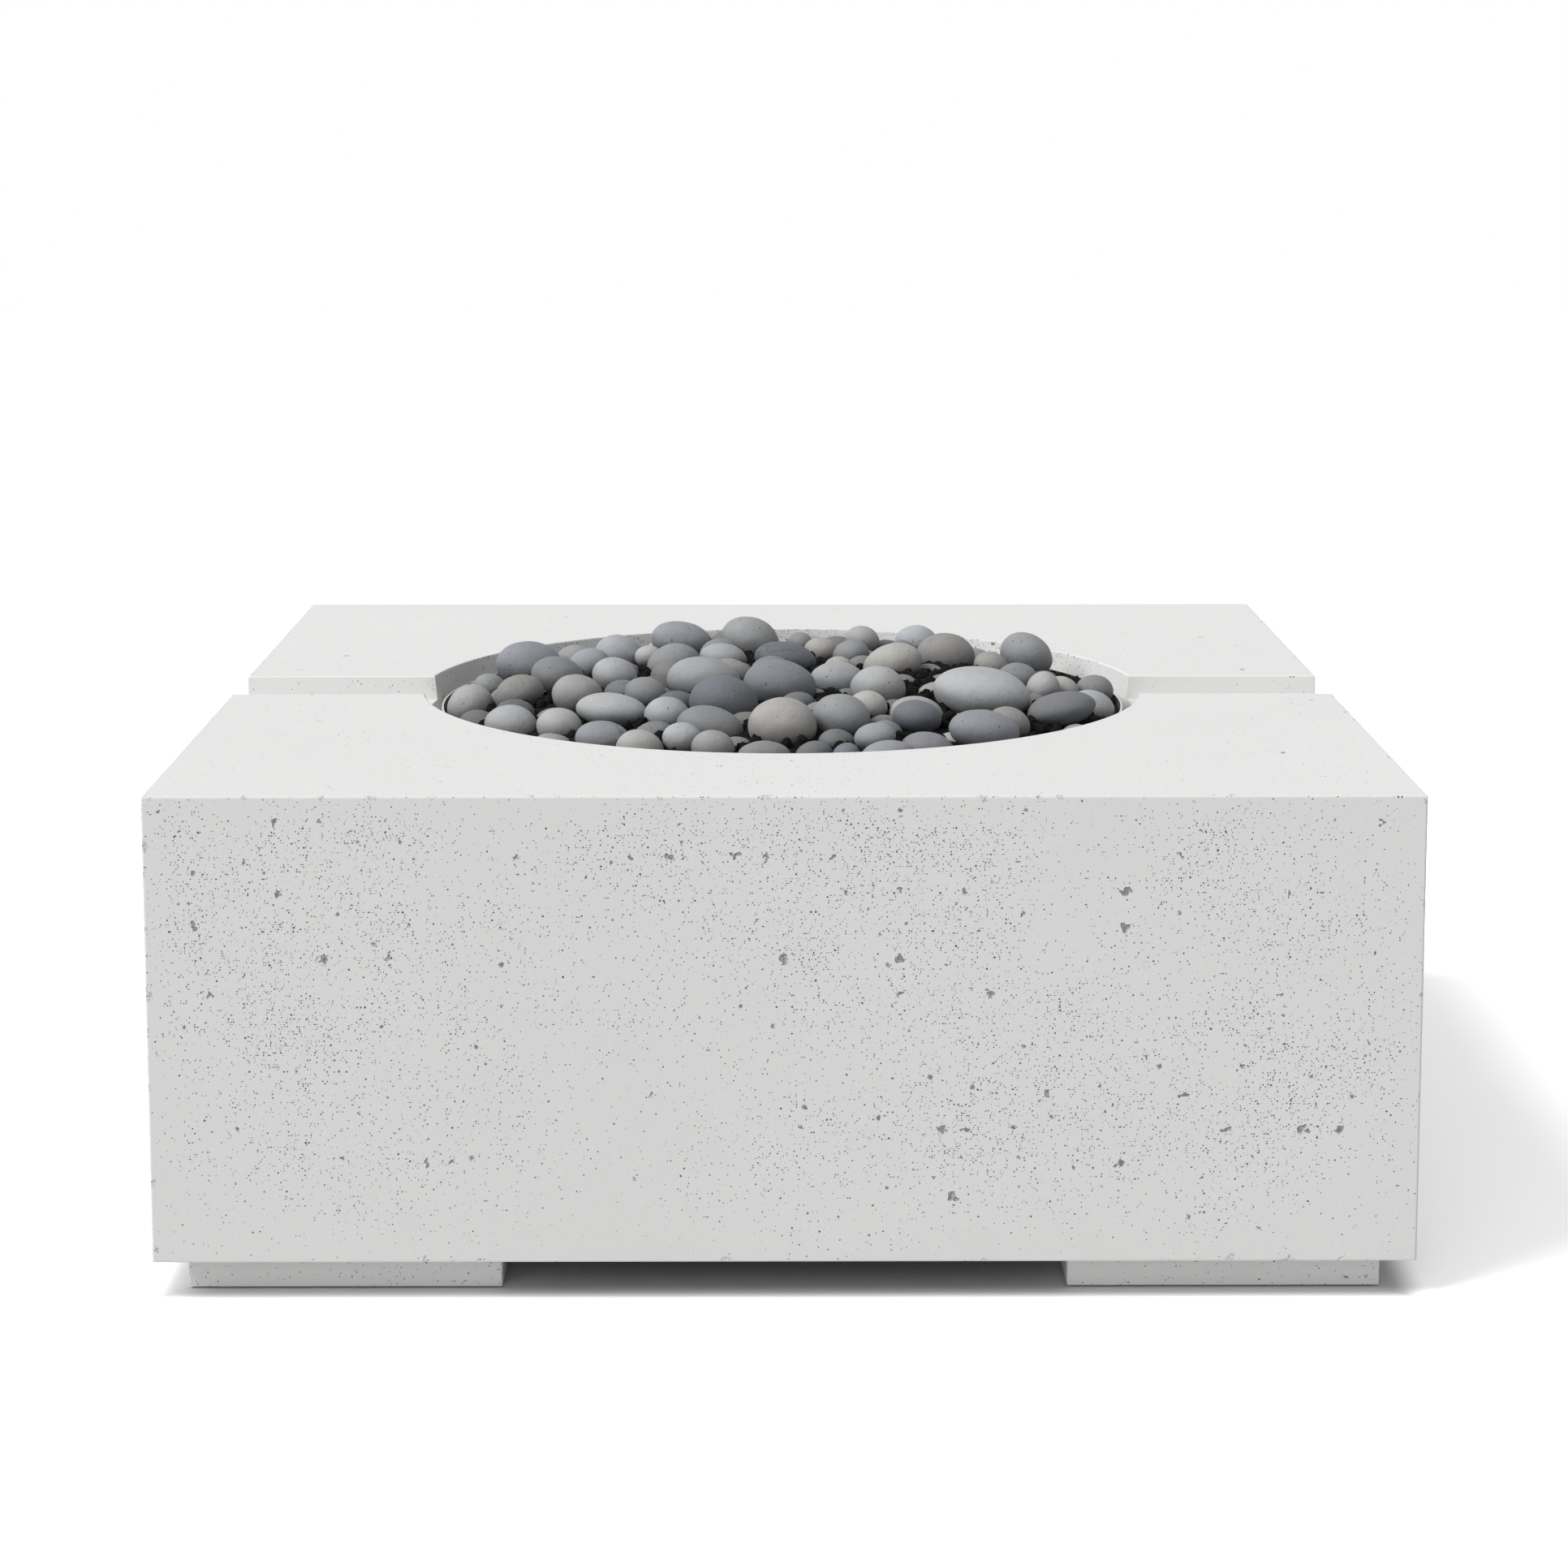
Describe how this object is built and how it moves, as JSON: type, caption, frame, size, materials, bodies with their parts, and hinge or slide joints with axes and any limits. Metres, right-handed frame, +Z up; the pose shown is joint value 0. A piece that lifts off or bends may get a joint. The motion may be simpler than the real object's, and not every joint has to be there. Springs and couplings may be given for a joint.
{
  "type": "concrete fire pit",
  "caption": "Square cast concrete gas fire pit on block feet, with a channel across its top and a round bowl heaped with smooth pebbles over a ring burner.",
  "frame": {"origin": "on the floor under the centre of the body", "axes": "+Z up, the plain front faces -Y, the access door is in the +Y side, the channel runs along X"},
  "size_m": [1.2192, 1.2192, 0.5388],
  "materials": {
    "concrete": "cast, fine pinholes, matte",
    "pad_rubber": "matte",
    "zinc_steel": "zinc plated",
    "stainless": "brushed",
    "yellow_brass": "machined",
    "black_iron": "satin",
    "lava_rock": "porous",
    "pebble_grey": "tumbled, matte",
    "pebble_blue_grey": "tumbled, matte",
    "pebble_slate": "tumbled, matte",
    "pebble_buff": "tumbled, matte",
    "knob_black": "matte",
    "lever_red": "dipped vinyl",
    "magnet": "nickel plated"
  },
  "bodies": {
    "pit": {"access_frame": "zinc_steel", "burner_nipple": "stainless", "burner_pan": "stainless", "burner_ring": "stainless", "concrete_body": "concrete", "control_nut": "yellow_brass", "control_plate": "zinc_steel", "control_valve_body": "yellow_brass", "flex_hose": "stainless", "foot_bolts": "zinc_steel", "foot_front_left": "concrete", "foot_front_right": "concrete", "foot_nuts": "zinc_steel", "foot_pads": "pad_rubber", "foot_rear_left": "concrete", "foot_rear_right": "concrete", "foot_washers": "zinc_steel", "frame_screws": "zinc_steel", "gas_inlet_fitting": "yellow_brass", "gas_screws": "zinc_steel", "hinge_leaves_frame": "zinc_steel", "hinge_pins": "zinc_steel", "hose_clip": "zinc_steel", "hose_nuts": "yellow_brass", "lava_rock_bed": "lava_rock", "nipple_locknuts": "zinc_steel", "orifice_elbow": "yellow_brass", "pebbles_blue_grey": "pebble_blue_grey", "pebbles_buff": "pebble_buff", "pebbles_grey": "pebble_grey", "pebbles_lower": "pebble_grey", "pebbles_slate": "pebble_slate", "riser_clip": "zinc_steel", "shutoff_valve_body": "yellow_brass", "supply_bend": "black_iron", "supply_riser": "black_iron"},
    "door": {"access_door": "concrete", "door_pull": "stainless", "door_magnets": "magnet", "hinge_leaves_door": "zinc_steel"},
    "shutoff": {"shutoff_stem": "stainless", "shutoff_lever": "lever_red", "shutoff_nut": "zinc_steel"},
    "control": {"valve_stem": "stainless", "control_knob": "knob_black"}
  },
  "joints": [
    {"name": "door_hinge", "type": "hinge", "parent": "pit", "child": "door", "pos_m": [-0.1485, 0.6036, 0.23], "axis": [0, 0, 1], "range_deg": [0, 95]},
    {"name": "shutoff_turn", "type": "hinge", "parent": "pit", "child": "shutoff", "pos_m": [-0.1, 0.5603, 0.187], "axis": [0, 1, 0], "range_deg": [0, 90]},
    {"name": "control_turn", "type": "hinge", "parent": "pit", "child": "control", "pos_m": [0.11, 0.556, 0.265], "axis": [0, 1, 0], "range_deg": [0, 90]}
  ]
}
